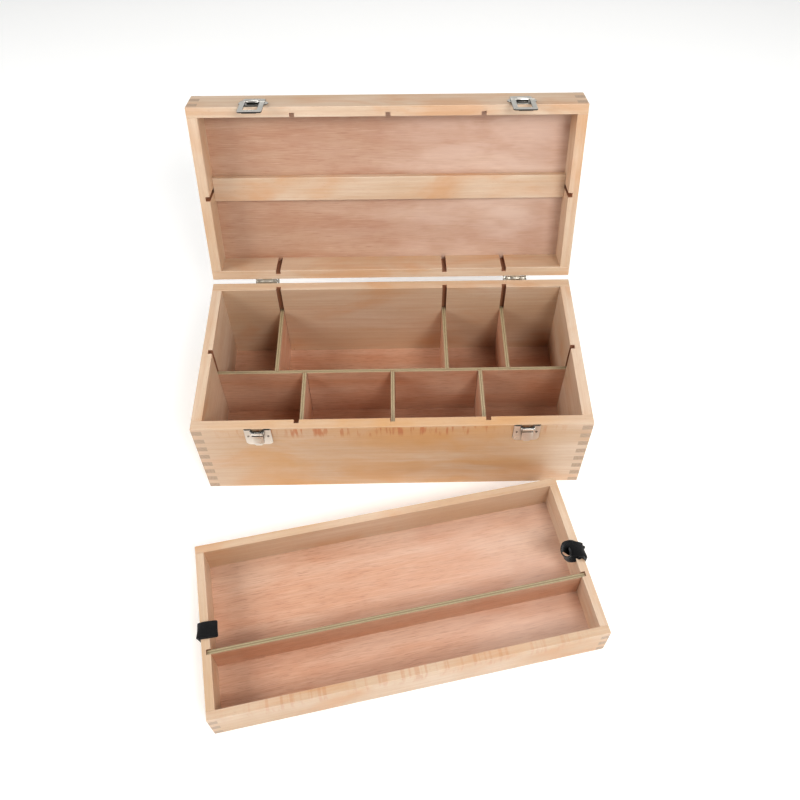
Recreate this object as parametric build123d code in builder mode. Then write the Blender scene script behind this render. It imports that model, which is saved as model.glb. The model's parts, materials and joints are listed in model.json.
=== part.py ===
from build123d import *
from math import cos, radians, sin
import os

# Wooden art supply box: a finger-jointed body with lift-out dividers, a hinged lid that
# stands open on its hinge stops, two snap latches, and a lift-out tray lying in front.
# Millimetres, +Z up, +X to the right, the front faces -Y. The origin is at the middle
# of the underside of the body.

# ---- body and lid carcase
WIDTH = 450.0
DEPTH = 220.0
WALL = 12.0
BODY_HEIGHT = 126.2
LID_GAP = 0.4              # gap between the two rims when the lid is shut
TOTAL_HEIGHT = 165.0
FINGER = 8.15              # height of one finger of the corner joints
PANEL = 5.0                # bottom and top panels, set flush in rabbets
RABBET = 6.0
LID_BASE = BODY_HEIGHT + LID_GAP
JOINT_LINE = BODY_HEIGHT + LID_GAP / 2
INNER_X = WIDTH / 2 - WALL
INNER_Y = DEPTH / 2 - WALL

# ---- dividers and their grooves
PLY = 5.0
GROOVE = 5.5               # groove width
GROOVE_DEPTH = 5.0
SLOT_DEPTH = 1.5           # shallow grooves across the long divider
DIVIDER_TOP = 85.0
FIT = 0.3                  # running clearance at a divider's end
BACK_X = {"left": -142.0, "middle": 67.0, "right": 142.0}
FRONT_X = {"left": -107.5, "middle": 0.0, "right": 107.5}

# ---- lid
OPEN_ANGLE = 106.0
AXIS_Y = DEPTH / 2 + 3.0
BATTEN_WIDTH = 30.0
BATTEN_THICKNESS = 8.0

# ---- hinges
HINGE_X = 157.0
LEAF_LENGTH = 30.0
LEAF_HEIGHT = 14.0         # from the axis to the leaf's far edge
LEAF = 1.0
KNUCKLE_RADIUS = 2.6
HINGE_PIN_RADIUS = 1.1
HINGE_BORE_RADIUS = 1.16
KNUCKLE_HALF = 12.0        # half the length of the whole barrel
LID_KNUCKLE_HALF = 5.8
BODY_KNUCKLE_START = 6.0
LEAF_SETBACK = 3.0         # a leaf's edge stays this far from the axis
STOP_EAR_X = 13.8
STOP_EAR = 1.2

# ---- latches (heights are measured from the joint line, "out" from the front face)
LATCH_X = 150.5
PIVOT_OUT, PIVOT_Z = 2.9, -3.4
LEVER_WIDTH = 12.6
LEVER_SHEET = 1.0
LEVER_EYE_RADIUS = 2.5
LEVER_BORE_RADIUS = 1.0
LEVER_PIN_RADIUS = 0.9
COIL_WIRE_RADIUS = 0.2
COIL_PITCH = 0.9
HASP_PIN_OUT, HASP_PIN_Z = 2.9, 8.0
HASP_WIDTH = 27.0
HASP_SHEET = 1.2
HASP_BAR_RADIUS = 1.2
HASP_WINDOW = 16.0
HASP_WINDOW_LOW = -18.5
HASP_LOW = -25.0
CURL_WIDTH = 13.0
CURL_RADIUS = 2.4
CURL_BORE_RADIUS = 1.45
CATCH_WIDTH = 30.0
CATCH_TOP, CATCH_LOW = -0.6, -30.5
CATCH_SHEET = 0.9
HASP_PLATE_SHEET = 0.8

# ---- screws
HINGE_SCREWS = [(-8.0, 8.5), (8.0, 8.5)]       # across the leaf, away from the axis
CATCH_SCREWS = [(-11.2, -13.5), (11.2, -13.5)]
HASP_SCREWS = [(-12.2, 12.0), (12.2, 12.0)]
SCREW_RADIUS = 1.2
SCREW_FIT = 0.05
SCREW_LENGTH = 8.0
SCREW_HEAD_RADIUS = 2.3
SCREW_HEAD = 0.5

# ---- tray
TRAY_LENGTH = 418.0
TRAY_DEPTH = 189.4
TRAY_HEIGHT = 47.0
TRAY_WALL = 9.2
TRAY_PANEL = 4.0
TRAY_PANEL_BASE = 2.5
TRAY_GROOVE_DEPTH = 4.6
TRAY_YAW = 10.94
TRAY_CENTRE = (1.7, -265.5)
TRAY_DIVIDER_Y = -26.5
TRAY_DIVIDER_TOP = 45.0
TRAY_INNER_X = TRAY_LENGTH / 2 - TRAY_WALL
TRAY_INNER_Y = TRAY_DEPTH / 2 - TRAY_WALL
STRAP_WIDTH = 18.0
STRAP_LAYERS = 2.6
STRAP_SCREW_Z = 27.0

os.makedirs("parts", exist_ok=True)


def save(piece, name):
    piece.part.label = name
    export_step(piece.part, f"parts/{name}.step")


def bands(first, low, high):
    """Heights of every other finger between low and high, starting at band `first`."""
    found = []
    count = int(high / (2 * FINGER)) + 1
    for index in range(count):
        start = max(low, (2 * index + first) * FINGER)
        end = min(high, (2 * index + first + 1) * FINGER)
        if end - start > 0.2:
            found.append((start, end))
    return found


def swung(x, y, z):
    """A point of the shut lid, moved to where it is when the lid stands open."""
    turn = radians(OPEN_ANGLE)
    dy, dz = y - AXIS_Y, z - JOINT_LINE
    return (x, AXIS_Y + dy * cos(turn) + dz * sin(turn), JOINT_LINE - dy * sin(turn) + dz * cos(turn))


body_frame = Plane.XY
lid_frame = Plane(
    origin=swung(0, 0, 0),
    x_dir=(1, 0, 0),
    z_dir=(0, sin(radians(OPEN_ANGLE)), cos(radians(OPEN_ANGLE))),
)
tray_frame = Plane(
    origin=(*TRAY_CENTRE, 0),
    x_dir=(cos(radians(TRAY_YAW)), sin(radians(TRAY_YAW)), 0),
    z_dir=(0, 0, 1),
)


def side_view(frame, x, y, z):
    """A plane across X at a point of the frame: its x runs out of the front, its y up."""
    return Plane(frame * Plane(origin=(x, y, z), x_dir=(0, -1, 0), z_dir=(-1, 0, 0)))


def front_view(frame, x, y, z):
    """A plane on the front: its x runs right, its y up, and it faces out."""
    return Plane(frame * Plane(origin=(x, y, z), x_dir=(1, 0, 0), z_dir=(0, -1, 0)))


def back_view(frame, x, y, z):
    """A plane on the back: its x runs left, its y up, and it faces out."""
    return Plane(frame * Plane(origin=(x, y, z), x_dir=(-1, 0, 0), z_dir=(0, 1, 0)))


def end_view(frame, x, y, z, side):
    """A plane on an end face: its x runs along the end, its y up, and it faces out."""
    return Plane(frame * Plane(origin=(x, y, z), x_dir=(0, side, 0), z_dir=(side, 0, 0)))


# ======== walls ========
def ends(length, wall):
    return (-(length - wall) / 2, (length - wall) / 2)


def board(frame, size, centre, cuts=(), pilots=()):
    """A flat board with boxes cut out of it and screw holes bored into its faces."""
    with BuildPart(frame) as piece:
        with Locations(centre):
            Box(*size)
        for cut_size, cut_centre in cuts:
            with Locations(cut_centre):
                Box(*cut_size, mode=Mode.SUBTRACT)
        for view, places in pilots:
            with BuildSketch(view):
                with Locations(*places):
                    Circle(SCREW_RADIUS + SCREW_FIT)
            extrude(amount=-SCREW_LENGTH, mode=Mode.SUBTRACT)
    return piece


def long_rail(frame, carcase, side, cuts, pilots=()):
    """A front (side=-1) or back (side=1) board, notched for the end boards' fingers."""
    length, depth, wall, low, high = carcase
    middle_y = side * (depth - wall) / 2
    notches = [
        ((wall, wall, end - start), (x, middle_y, (start + end) / 2))
        for start, end in bands(0, low, high)
        for x in ends(length, wall)
    ]
    centre = (0, middle_y, (low + high) / 2)
    return board(frame, (length, wall, high - low), centre, notches + cuts, pilots)


def end_rail(frame, carcase, side, cuts, pilots=()):
    """A left (side=-1) or right (side=1) board, notched for the long boards' fingers."""
    length, depth, wall, low, high = carcase
    middle_x = side * (length - wall) / 2
    notches = [
        ((wall, wall, end - start), (middle_x, y, (start + end) / 2))
        for start, end in bands(1, low, high)
        for y in ends(depth, wall)
    ]
    centre = (middle_x, 0, (low + high) / 2)
    return board(frame, (wall, depth, high - low), centre, notches + cuts, pilots)


def box_rails(frame, carcase, panel_middle, groove_low, groove_high, front_pilots, back_pilots):
    """The four boards of the body or of the lid, with the panel rabbet and the grooves."""
    rabbet = ((WIDTH - 2 * RABBET, DEPTH - 2 * RABBET, PANEL), (0, 0, panel_middle))
    middle, height = (groove_low + groove_high) / 2, groove_high - groove_low
    groove_x, groove_y = INNER_X + GROOVE_DEPTH / 2, INNER_Y + GROOVE_DEPTH / 2
    across, along = (GROOVE, GROOVE_DEPTH, height), (GROOVE_DEPTH, GROOVE, height)
    front_cuts = [rabbet] + [(across, (x, -groove_y, middle)) for x in FRONT_X.values()]
    back_cuts = [rabbet] + [(across, (x, groove_y, middle)) for x in BACK_X.values()]
    return {
        "front": long_rail(frame, carcase, -1, front_cuts, front_pilots),
        "back": long_rail(frame, carcase, 1, back_cuts, back_pilots),
        "left": end_rail(frame, carcase, -1, [rabbet, (along, (-groove_x, 0, middle))]),
        "right": end_rail(frame, carcase, 1, [rabbet, (along, (groove_x, 0, middle))]),
    }


latch_places = {"left": -LATCH_X, "right": LATCH_X}
hinge_places = {"left": -HINGE_X, "right": HINGE_X}
below = [(across, -away) for across, away in HINGE_SCREWS]
catch_views = [
    (front_view(body_frame, x, -DEPTH / 2, JOINT_LINE), CATCH_SCREWS) for x in latch_places.values()
]
hasp_views = [
    (front_view(lid_frame, x, -DEPTH / 2, JOINT_LINE), HASP_SCREWS) for x in latch_places.values()
]
body_hinge_views = [
    (back_view(body_frame, x, DEPTH / 2, JOINT_LINE), below) for x in hinge_places.values()
]
lid_hinge_views = [
    (back_view(lid_frame, x, DEPTH / 2, JOINT_LINE), HINGE_SCREWS) for x in hinge_places.values()
]
body_rails = box_rails(
    body_frame,
    (WIDTH, DEPTH, WALL, 0, BODY_HEIGHT),
    PANEL / 2,
    PANEL,
    BODY_HEIGHT,
    catch_views,
    body_hinge_views,
)
lid_rails = box_rails(
    lid_frame,
    (WIDTH, DEPTH, WALL, LID_BASE, TOTAL_HEIGHT),
    TOTAL_HEIGHT - PANEL / 2,
    LID_BASE,
    TOTAL_HEIGHT - PANEL,
    hasp_views,
    lid_hinge_views,
)
for place in ("front", "back", "left", "right"):
    save(body_rails[place], f"{place}_wall")
    save(lid_rails[place], f"lid_{place}_rail")

panel_size = (WIDTH - 2 * RABBET, DEPTH - 2 * RABBET, PANEL)
bottom_panel = board(body_frame, panel_size, (0, 0, PANEL / 2))
save(bottom_panel, "bottom_panel")
lid_panel = board(lid_frame, panel_size, (0, 0, TOTAL_HEIGHT - PANEL / 2))
save(lid_panel, "lid_panel")

batten_size = (2 * INNER_X, BATTEN_WIDTH, BATTEN_THICKNESS)
batten_centre = (0, 0, TOTAL_HEIGHT - PANEL - BATTEN_THICKNESS / 2)
save(board(lid_frame, batten_size, batten_centre), "lid_batten")

# ======== dividers ========
divider_height = DIVIDER_TOP - PANEL
divider_middle = (DIVIDER_TOP + PANEL) / 2
with BuildPart() as long_divider:
    with Locations((0, 0, divider_middle)):
        Box(2 * (INNER_X + GROOVE_DEPTH - FIT), PLY, divider_height)
    for side, places in ((1, BACK_X), (-1, FRONT_X)):
        for x in places.values():
            with Locations((x, side * (PLY - SLOT_DEPTH) / 2, divider_middle)):
                Box(GROOVE, SLOT_DEPTH, divider_height, mode=Mode.SUBTRACT)
save(long_divider, "long_divider")

cross_start = PLY / 2 - SLOT_DEPTH + FIT
cross_end = INNER_Y + GROOVE_DEPTH - FIT
for row, side, places in (("back", 1, BACK_X), ("front", -1, FRONT_X)):
    for place, x in places.items():
        with BuildPart() as cross_divider:
            with Locations((x, side * (cross_start + cross_end) / 2, divider_middle)):
                Box(PLY, cross_end - cross_start, divider_height)
        save(cross_divider, f"{row}_divider_{place}")


# ======== hinges ========
def hinge_leaf(frame, x, way, knuckles, ears=False):
    """A leaf on the back face; way is -1 below the axis and 1 above it."""
    axis_view = side_view(frame, x, AXIS_Y, JOINT_LINE)
    face_view = back_view(frame, x, DEPTH / 2, JOINT_LINE)
    with BuildPart() as leaf:
        with BuildSketch(face_view):
            with Locations((0, way * (LEAF_HEIGHT + LEAF_SETBACK) / 2)):
                Rectangle(LEAF_LENGTH, LEAF_HEIGHT - LEAF_SETBACK)
            fillet(vertices().group_by(Axis.Y)[0 if way < 0 else -1], 1.5)
            for start, end in knuckles:
                with Locations((-(start + end) / 2, way * (LEAF_SETBACK + 0.8) / 2)):
                    Rectangle(end - start, LEAF_SETBACK)
            with Locations(*[(a, way * b) for a, b in HINGE_SCREWS]):
                Circle(SCREW_RADIUS + SCREW_FIT, mode=Mode.SUBTRACT)
        extrude(amount=LEAF)
        for start, end in knuckles:
            with BuildSketch(axis_view.offset(-(start + end) / 2)):
                Circle(KNUCKLE_RADIUS)
            extrude(amount=(end - start) / 2, both=True)
        with BuildSketch(axis_view):
            Circle(HINGE_BORE_RADIUS)
        extrude(amount=KNUCKLE_HALF + 0.1, both=True, mode=Mode.SUBTRACT)
        if ears:
            for ear_x in (-STOP_EAR_X, STOP_EAR_X):
                with BuildSketch(axis_view.offset(ear_x)):
                    with BuildLine():
                        Polyline(*ear_outline(), close=True)
                    make_face()
                extrude(amount=STOP_EAR / 2, both=True)
    return leaf


def ear_outline():
    """A stop ear's side: its sloping top edge carries the open lid's leaf."""
    turn = radians(OPEN_ANGLE)
    face = AXIS_Y - DEPTH / 2 - LEAF      # from the axis in to the leaf's outer face
    rise = face - 0.05
    along, across = (sin(turn), cos(turn)), (-cos(turn), sin(turn))
    slope = [
        (-(rise * across[0] + distance * along[0]), rise * across[1] + distance * along[1])
        for distance in (0.3, 8.4)
    ]
    low = 1.6 - LEAF_HEIGHT
    return [
        (face + 0.4, low),
        (face + 0.4, -LEAF_SETBACK - 0.2),
        (face - 0.2, -1.2),
        *slope,
        (-7.4, -2.4),
        (1.0, low),
    ]


body_knuckles = [(-KNUCKLE_HALF, -BODY_KNUCKLE_START), (BODY_KNUCKLE_START, KNUCKLE_HALF)]
lid_knuckles = [(-LID_KNUCKLE_HALF, LID_KNUCKLE_HALF)]
for place, x in hinge_places.items():
    save(hinge_leaf(body_frame, x, -1, body_knuckles, ears=True), f"{place}_hinge_body_leaf")
    save(hinge_leaf(lid_frame, x, 1, lid_knuckles), f"{place}_hinge_lid_leaf")
    with BuildPart() as hinge_pin:
        pin_view = side_view(body_frame, x, AXIS_Y, JOINT_LINE)
        with BuildSketch(pin_view):
            Circle(HINGE_PIN_RADIUS)
        extrude(amount=KNUCKLE_HALF + 0.2, both=True)
        for head_way in (-1, 1):
            with BuildSketch(pin_view.offset(head_way * (KNUCKLE_HALF + 0.45))):
                Circle(HINGE_PIN_RADIUS + 0.5)
            extrude(amount=0.35, both=True)
    save(hinge_pin, f"{place}_hinge_pin")


# ======== latches ========
def catch_plate(x):
    """The plate on the body's front, with the lugs that hold the lever's pin."""
    view = front_view(body_frame, x, -DEPTH / 2, JOINT_LINE)
    height = CATCH_TOP - CATCH_LOW
    gap = LEVER_WIDTH / 2 + 0.5
    lug = 0.9
    with BuildPart() as plate:
        with BuildSketch(view):
            with Locations((0, (CATCH_TOP + CATCH_LOW) / 2)):
                Rectangle(CATCH_WIDTH, height)
            fillet(vertices().group_by(Axis.Y)[0], 5.5)
            fillet(vertices().group_by(Axis.Y)[-1], 1.2)
            with Locations((0, CATCH_TOP - 2.9)):
                Rectangle(2 * gap, 5.8, mode=Mode.SUBTRACT)
            with Locations(*CATCH_SCREWS):
                Circle(SCREW_RADIUS + SCREW_FIT, mode=Mode.SUBTRACT)
        extrude(amount=CATCH_SHEET)
        for side in (-1, 1):
            with BuildSketch(view.offset(CATCH_SHEET)):
                with Locations((side * (gap + lug + 3.4), CATCH_TOP - 0.5)):
                    Rectangle(5.6, 0.9)
            extrude(amount=0.8)
            with BuildSketch(side_view(body_frame, x + side * (gap + lug / 2), -DEPTH / 2, JOINT_LINE)):
                with Locations((PIVOT_OUT - 1.4, PIVOT_Z)):
                    Rectangle(2.8, 4.4)
                with Locations((PIVOT_OUT, PIVOT_Z)):
                    Circle(2.2)
                    Circle(LEVER_PIN_RADIUS + 0.02, mode=Mode.SUBTRACT)
            extrude(amount=lug / 2, both=True)
    return plate


def lever(x):
    """The thumb lever: a bent channel that turns on the pin and closes over the hasp."""
    pivot_view = side_view(body_frame, x, -DEPTH / 2, JOINT_LINE)
    cheek = LEVER_SHEET
    with BuildPart() as thumb:
        with BuildSketch(pivot_view):
            with BuildLine():
                Polyline(
                    (3.2, -0.7),
                    (5.3, -0.7),
                    (5.9, -1.3),
                    (5.9, -5.2),
                    (5.2, -6.6),
                    (5.7, -10.0),
                    (6.1, -16.0),
                    (6.1, -22.0),
                    (6.8, -27.2),
                    (5.9, -27.4),
                    (5.1, -22.0),
                    (5.1, -16.0),
                    (4.7, -10.0),
                    (4.2, -6.8),
                    (4.9, -5.0),
                    (4.9, -1.7),
                    (3.2, -1.7),
                    close=True,
                )
            make_face()
        extrude(amount=LEVER_WIDTH / 2, both=True)
        for side in (-1, 1):
            cheek_x = x + side * (LEVER_WIDTH - cheek) / 2
            with BuildSketch(side_view(body_frame, cheek_x, -DEPTH / 2, JOINT_LINE)):
                with BuildLine():
                    Polyline(
                        (PIVOT_OUT - 1.9, -4.0),
                        (2.0, -18.2),
                        (3.8, -18.2),
                        (3.9, -21.4),
                        (5.4, -23.6),
                        (5.4, -10.0),
                        (4.8, -6.7),
                        (5.4, -5.2),
                        (5.4, -1.2),
                        (3.2, -1.2),
                        close=True,
                    )
                make_face()
                with Locations((PIVOT_OUT, PIVOT_Z)):
                    Circle(LEVER_EYE_RADIUS)
                    Circle(LEVER_BORE_RADIUS, mode=Mode.SUBTRACT)
            extrude(amount=cheek / 2, both=True)
        with BuildSketch(front_view(body_frame, x, -DEPTH / 2 - 7, JOINT_LINE)):
            with Locations((-LEVER_WIDTH / 2, -27.6), (LEVER_WIDTH / 2, -27.6)):
                Rectangle(5.6, 5.6, rotation=45)
        extrude(amount=-4.0, mode=Mode.SUBTRACT)
        window_plane = Plane(origin=(x, -DEPTH / 2, JOINT_LINE + 0.5))
        with BuildSketch(window_plane):
            with Locations((0, -3.4)):
                Rectangle(6.2, 3.2)
        extrude(amount=-2.5, mode=Mode.SUBTRACT)
    return thumb


def hasp_plate(x):
    """The plate on the lid's front, with the curl that holds the hasp's bar."""
    view = front_view(lid_frame, x, -DEPTH / 2, JOINT_LINE)
    with BuildPart() as plate:
        with BuildSketch(view):
            with Locations((0, 13.0)):
                RectangleRounded(25.0, 24.0, 3.0)
            with Locations((-11.5, 11.0), (11.5, 11.0)):
                Circle(5.0)
            with Locations(*HASP_SCREWS):
                Circle(SCREW_RADIUS + SCREW_FIT, mode=Mode.SUBTRACT)
        extrude(amount=HASP_PLATE_SHEET)
        with BuildSketch(side_view(lid_frame, x, -DEPTH / 2, JOINT_LINE)):
            with Locations((HASP_PIN_OUT, HASP_PIN_Z)):
                Circle(CURL_RADIUS)
            with BuildLine():
                Polyline(
                    (0.4, HASP_PIN_Z),
                    (0.4, HASP_PIN_Z + 10.5),
                    (1.4, HASP_PIN_Z + 10.5),
                    (3.6, HASP_PIN_Z + 2.2),
                    (HASP_PIN_OUT, HASP_PIN_Z),
                    close=True,
                )
            make_face()
            with Locations((HASP_PIN_OUT, HASP_PIN_Z)):
                Circle(CURL_BORE_RADIUS, mode=Mode.SUBTRACT)
        extrude(amount=CURL_WIDTH / 2, both=True)
    return plate


def hasp(x):
    """The swinging frame: a window in a flat plate, and the bar that it hangs from."""
    top = HASP_PIN_Z + HASP_BAR_RADIUS
    plate_back = HASP_PIN_OUT - HASP_SHEET / 2
    window_top = HASP_PIN_Z - CURL_RADIUS - 0.8
    with BuildPart() as frame:
        with BuildSketch(front_view(lid_frame, x, -DEPTH / 2 - plate_back, JOINT_LINE)):
            with Locations((0, (top + HASP_LOW) / 2)):
                Rectangle(HASP_WIDTH, top - HASP_LOW)
            fillet(vertices().group_by(Axis.Y)[0], 3.0)
            fillet(vertices().group_by(Axis.Y)[-1], 1.0)
            window_height = top + 1 - HASP_WINDOW_LOW
            with Locations((0, HASP_WINDOW_LOW + window_height / 2)):
                Rectangle(HASP_WINDOW, window_height, mode=Mode.SUBTRACT)
        extrude(amount=HASP_SHEET)
        with BuildSketch(side_view(lid_frame, x, -DEPTH / 2, JOINT_LINE)):
            with Locations((HASP_PIN_OUT, HASP_PIN_Z)):
                Circle(HASP_BAR_RADIUS)
        extrude(amount=HASP_WIDTH / 2, both=True)
        with BuildSketch(side_view(lid_frame, x, -DEPTH / 2, JOINT_LINE)):
            with Locations((plate_back - 0.2, HASP_LOW + 0.5)):
                Rectangle(0.6, 1.0)
        extrude(amount=HASP_WINDOW / 2, both=True)
    return frame


def lever_spring(x):
    """The coil round the lever's pin, seen through the square window."""
    half_length = LEVER_WIDTH / 2 - LEVER_SHEET - 0.7
    coil_radius = LEVER_PIN_RADIUS + 0.1 + COIL_WIRE_RADIUS
    axis_point = (x - half_length, -DEPTH / 2 - PIVOT_OUT, JOINT_LINE + PIVOT_Z)
    with BuildPart() as spring:
        with BuildLine():
            coil = Helix(COIL_PITCH, 2 * half_length, coil_radius, center=axis_point, direction=(1, 0, 0))
        with BuildSketch(Plane(origin=coil @ 0, z_dir=coil % 0)):
            Circle(COIL_WIRE_RADIUS)
        sweep(is_frenet=True)
    return spring


for place, x in latch_places.items():
    save(catch_plate(x), f"{place}_catch_plate")
    save(lever(x), f"{place}_lever")
    save(lever_spring(x), f"{place}_lever_spring")
    with BuildPart() as lever_pin:
        with BuildSketch(side_view(body_frame, x, -DEPTH / 2 - PIVOT_OUT, JOINT_LINE + PIVOT_Z)):
            Circle(LEVER_PIN_RADIUS)
        extrude(amount=LEVER_WIDTH / 2 + 1.5, both=True)
    save(lever_pin, f"{place}_lever_pin")
    save(hasp_plate(x), f"{place}_hasp_plate")
    save(hasp(x), f"{place}_hasp")


# ======== screws ========
def screw_group(views, sheet):
    """Screws through a metal sheet: a low head on it and a shank in the wood."""
    with BuildPart() as screws:
        for view, places in views:
            with BuildSketch(view):
                with Locations(*places):
                    Circle(SCREW_RADIUS)
            extrude(amount=-(SCREW_LENGTH - 0.2))
            with BuildSketch(view):
                with Locations(*places):
                    Circle(SCREW_RADIUS)
            extrude(amount=sheet)
            with BuildSketch(view.offset(sheet)):
                with Locations(*places):
                    Circle(SCREW_HEAD_RADIUS)
            extrude(amount=SCREW_HEAD, taper=30)
    return screws


save(screw_group(catch_views, CATCH_SHEET), "catch_screws")
save(screw_group(hasp_views, HASP_PLATE_SHEET), "hasp_screws")
save(screw_group(body_hinge_views, LEAF), "hinge_body_screws")
save(screw_group(lid_hinge_views, LEAF), "hinge_lid_screws")

# ======== tray ========
tray_carcase = (TRAY_LENGTH, TRAY_DEPTH, TRAY_WALL, 0, TRAY_HEIGHT)
tray_floor = TRAY_PANEL_BASE + TRAY_PANEL
tray_panel_middle = TRAY_PANEL_BASE + TRAY_PANEL / 2
tray_panel_length = 2 * (TRAY_INNER_X + TRAY_GROOVE_DEPTH)
tray_panel_depth = 2 * (TRAY_INNER_Y + TRAY_GROOVE_DEPTH)
panel_cut = ((tray_panel_length, tray_panel_depth, TRAY_PANEL), (0, 0, tray_panel_middle))
slot_size = (TRAY_GROOVE_DEPTH, GROOVE, TRAY_HEIGHT - tray_floor)
save(long_rail(tray_frame, tray_carcase, -1, [panel_cut]), "tray_front_rail")
save(long_rail(tray_frame, tray_carcase, 1, [panel_cut]), "tray_back_rail")
for place, side in (("left", -1), ("right", 1)):
    slot_x = side * (TRAY_INNER_X + TRAY_GROOVE_DEPTH / 2)
    slot_cut = (slot_size, (slot_x, TRAY_DIVIDER_Y, (tray_floor + TRAY_HEIGHT) / 2))
    screw_view = end_view(tray_frame, side * TRAY_LENGTH / 2, 0, STRAP_SCREW_Z, side)
    cuts = [panel_cut, slot_cut]
    rail = end_rail(tray_frame, tray_carcase, side, cuts, [(screw_view, [(0, 0)])])
    save(rail, f"tray_{place}_rail")

tray_panel_size = (tray_panel_length, tray_panel_depth, TRAY_PANEL)
save(board(tray_frame, tray_panel_size, (0, 0, tray_panel_middle)), "tray_panel")

tray_divider_length = 2 * (TRAY_INNER_X + TRAY_GROOVE_DEPTH - FIT)
tray_divider_size = (tray_divider_length, PLY, TRAY_DIVIDER_TOP - tray_floor)
tray_divider_centre = (0, TRAY_DIVIDER_Y, (tray_floor + TRAY_DIVIDER_TOP) / 2)
save(board(tray_frame, tray_divider_size, tray_divider_centre), "tray_divider")


def strap(side, reach, droop, loop_gap):
    """Two layers of webbing up the end board's face, over its top and down inside."""
    outer = side * (TRAY_LENGTH / 2 + 0.1)
    inner = side * (TRAY_INNER_X - reach)
    section = Plane(tray_frame * Plane(origin=(0, 0, 0), x_dir=(1, 0, 0), z_dir=(0, -1, 0)))
    top = TRAY_HEIGHT + 0.3
    with BuildPart() as webbing:
        with BuildSketch(section):
            with BuildLine():
                Polyline(
                    (outer, STRAP_SCREW_Z - 7),
                    (outer, top),
                    (inner + side * STRAP_LAYERS, top),
                    (inner + side * STRAP_LAYERS, top - droop),
                    (inner, top - droop),
                    (inner, top + STRAP_LAYERS),
                    (outer + side * STRAP_LAYERS, top + STRAP_LAYERS),
                    (outer + side * STRAP_LAYERS, STRAP_SCREW_Z - 7),
                    close=True,
                )
            make_face()
        extrude(amount=STRAP_WIDTH / 2, both=True)
        with BuildSketch(end_view(tray_frame, outer, 0, STRAP_SCREW_Z, side)):
            Circle(SCREW_RADIUS + SCREW_FIT)
        extrude(amount=STRAP_LAYERS, mode=Mode.SUBTRACT)
        if loop_gap:
            with BuildSketch(Plane(tray_frame * Plane.XY.offset(top))):
                with Locations((inner + side * (STRAP_LAYERS + 1.5 + loop_gap / 2), 0)):
                    Rectangle(loop_gap, STRAP_WIDTH - 9)
            extrude(amount=STRAP_LAYERS, mode=Mode.SUBTRACT)
    return webbing


save(strap(-1, 8.0, 3.0, 0), "left_strap")
save(strap(1, 20.0, 2.0, 10.0), "right_strap")

with BuildPart() as strap_screws:
    for side in (-1, 1):
        head_x = side * (TRAY_LENGTH / 2 + 0.1 + STRAP_LAYERS)
        head_view = end_view(tray_frame, head_x, 0, STRAP_SCREW_Z, side)
        with BuildSketch(head_view):
            Circle(SCREW_RADIUS)
        extrude(amount=-(STRAP_LAYERS + 5.5))
        with BuildSketch(head_view):
            Circle(3.2)
        extrude(amount=0.9, taper=35)
save(strap_screws, "strap_screws")
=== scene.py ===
import bpy, bmesh, json
from math import cos, pi, radians, sin
from mathutils import Matrix, Vector


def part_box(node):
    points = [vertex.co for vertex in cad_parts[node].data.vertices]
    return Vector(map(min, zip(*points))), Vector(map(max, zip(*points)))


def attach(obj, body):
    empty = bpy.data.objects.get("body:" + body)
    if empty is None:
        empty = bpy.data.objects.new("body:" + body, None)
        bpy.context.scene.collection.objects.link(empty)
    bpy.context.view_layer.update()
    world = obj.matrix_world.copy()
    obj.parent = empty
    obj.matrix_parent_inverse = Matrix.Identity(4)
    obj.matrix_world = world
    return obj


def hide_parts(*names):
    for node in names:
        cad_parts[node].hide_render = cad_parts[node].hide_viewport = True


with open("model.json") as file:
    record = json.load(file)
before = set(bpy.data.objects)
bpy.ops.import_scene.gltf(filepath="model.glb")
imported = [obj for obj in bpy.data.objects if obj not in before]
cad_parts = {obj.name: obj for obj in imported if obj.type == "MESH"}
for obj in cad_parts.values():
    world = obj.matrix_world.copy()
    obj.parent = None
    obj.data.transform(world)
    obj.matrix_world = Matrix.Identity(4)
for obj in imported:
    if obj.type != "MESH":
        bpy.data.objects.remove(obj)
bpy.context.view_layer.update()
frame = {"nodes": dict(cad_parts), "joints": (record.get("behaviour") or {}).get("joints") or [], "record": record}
nodes = frame["nodes"]
scene = bpy.context.scene
mm = 0.001

camera = {
    "place": (0.008518, -0.627349, 0.911495),  # metres, above and in front of the box
    "pitch": 52.987,  # degrees below the horizon
    "yaw": -1.581,
    "roll": 0.401,
    "lens": 38.026,
    "shift": (-0.01698, -0.03396),
}
studio = {
    "floor": (247, 247, 246), "floorGlow": 0.2,
    "sky": (255, 255, 255), "skyLow": 0.8, "skyHigh": 0.1,  # pale walls, dim ceiling
    "fadeFrom": 0.08, "fadeTo": 0.35,  # heights on the sky's sphere between the two
    "floorReach": 6.0, "floorDrop": 0.0002,
    "contrast": 0.85,  # display gamma
    "lights": {
        # name: (place, aim, width, height, watts)
        "left": ((-1.6, -0.5, 1.3), (0.0, -0.1, 0.1), 1.1, 0.9, 25.0),
        "right": ((1.7, -0.4, 1.2), (0.0, -0.1, 0.1), 1.1, 0.9, 11.0),
        "key": ((0.8, -1.45, 1.85), (0.0, -0.05, 0.1), 0.8, 0.7, 28.0),
        "side": ((1.15, -2.1, 0.8), (0.0, 0.0, 0.15), 1.1, 0.8, 1.5),
        "overhead": ((0.25, 0.75, 1.7), (0.0, -0.1, 0.1), 1.8, 0.9, 12.0),
        "low": ((0.65, -1.8, 0.3), (0.12, 0.15, 0.25), 0.7, 0.4, 1.5),
    },
}


def paint(red, green, blue):  # screen colour to the linear one that sockets want
    def linear(c):
        c /= 255
        return c / 12.92 if c <= 0.04045 else ((c + 0.055) / 1.055) ** 2.4
    return (linear(red), linear(green), linear(blue), 1.0)


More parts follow.
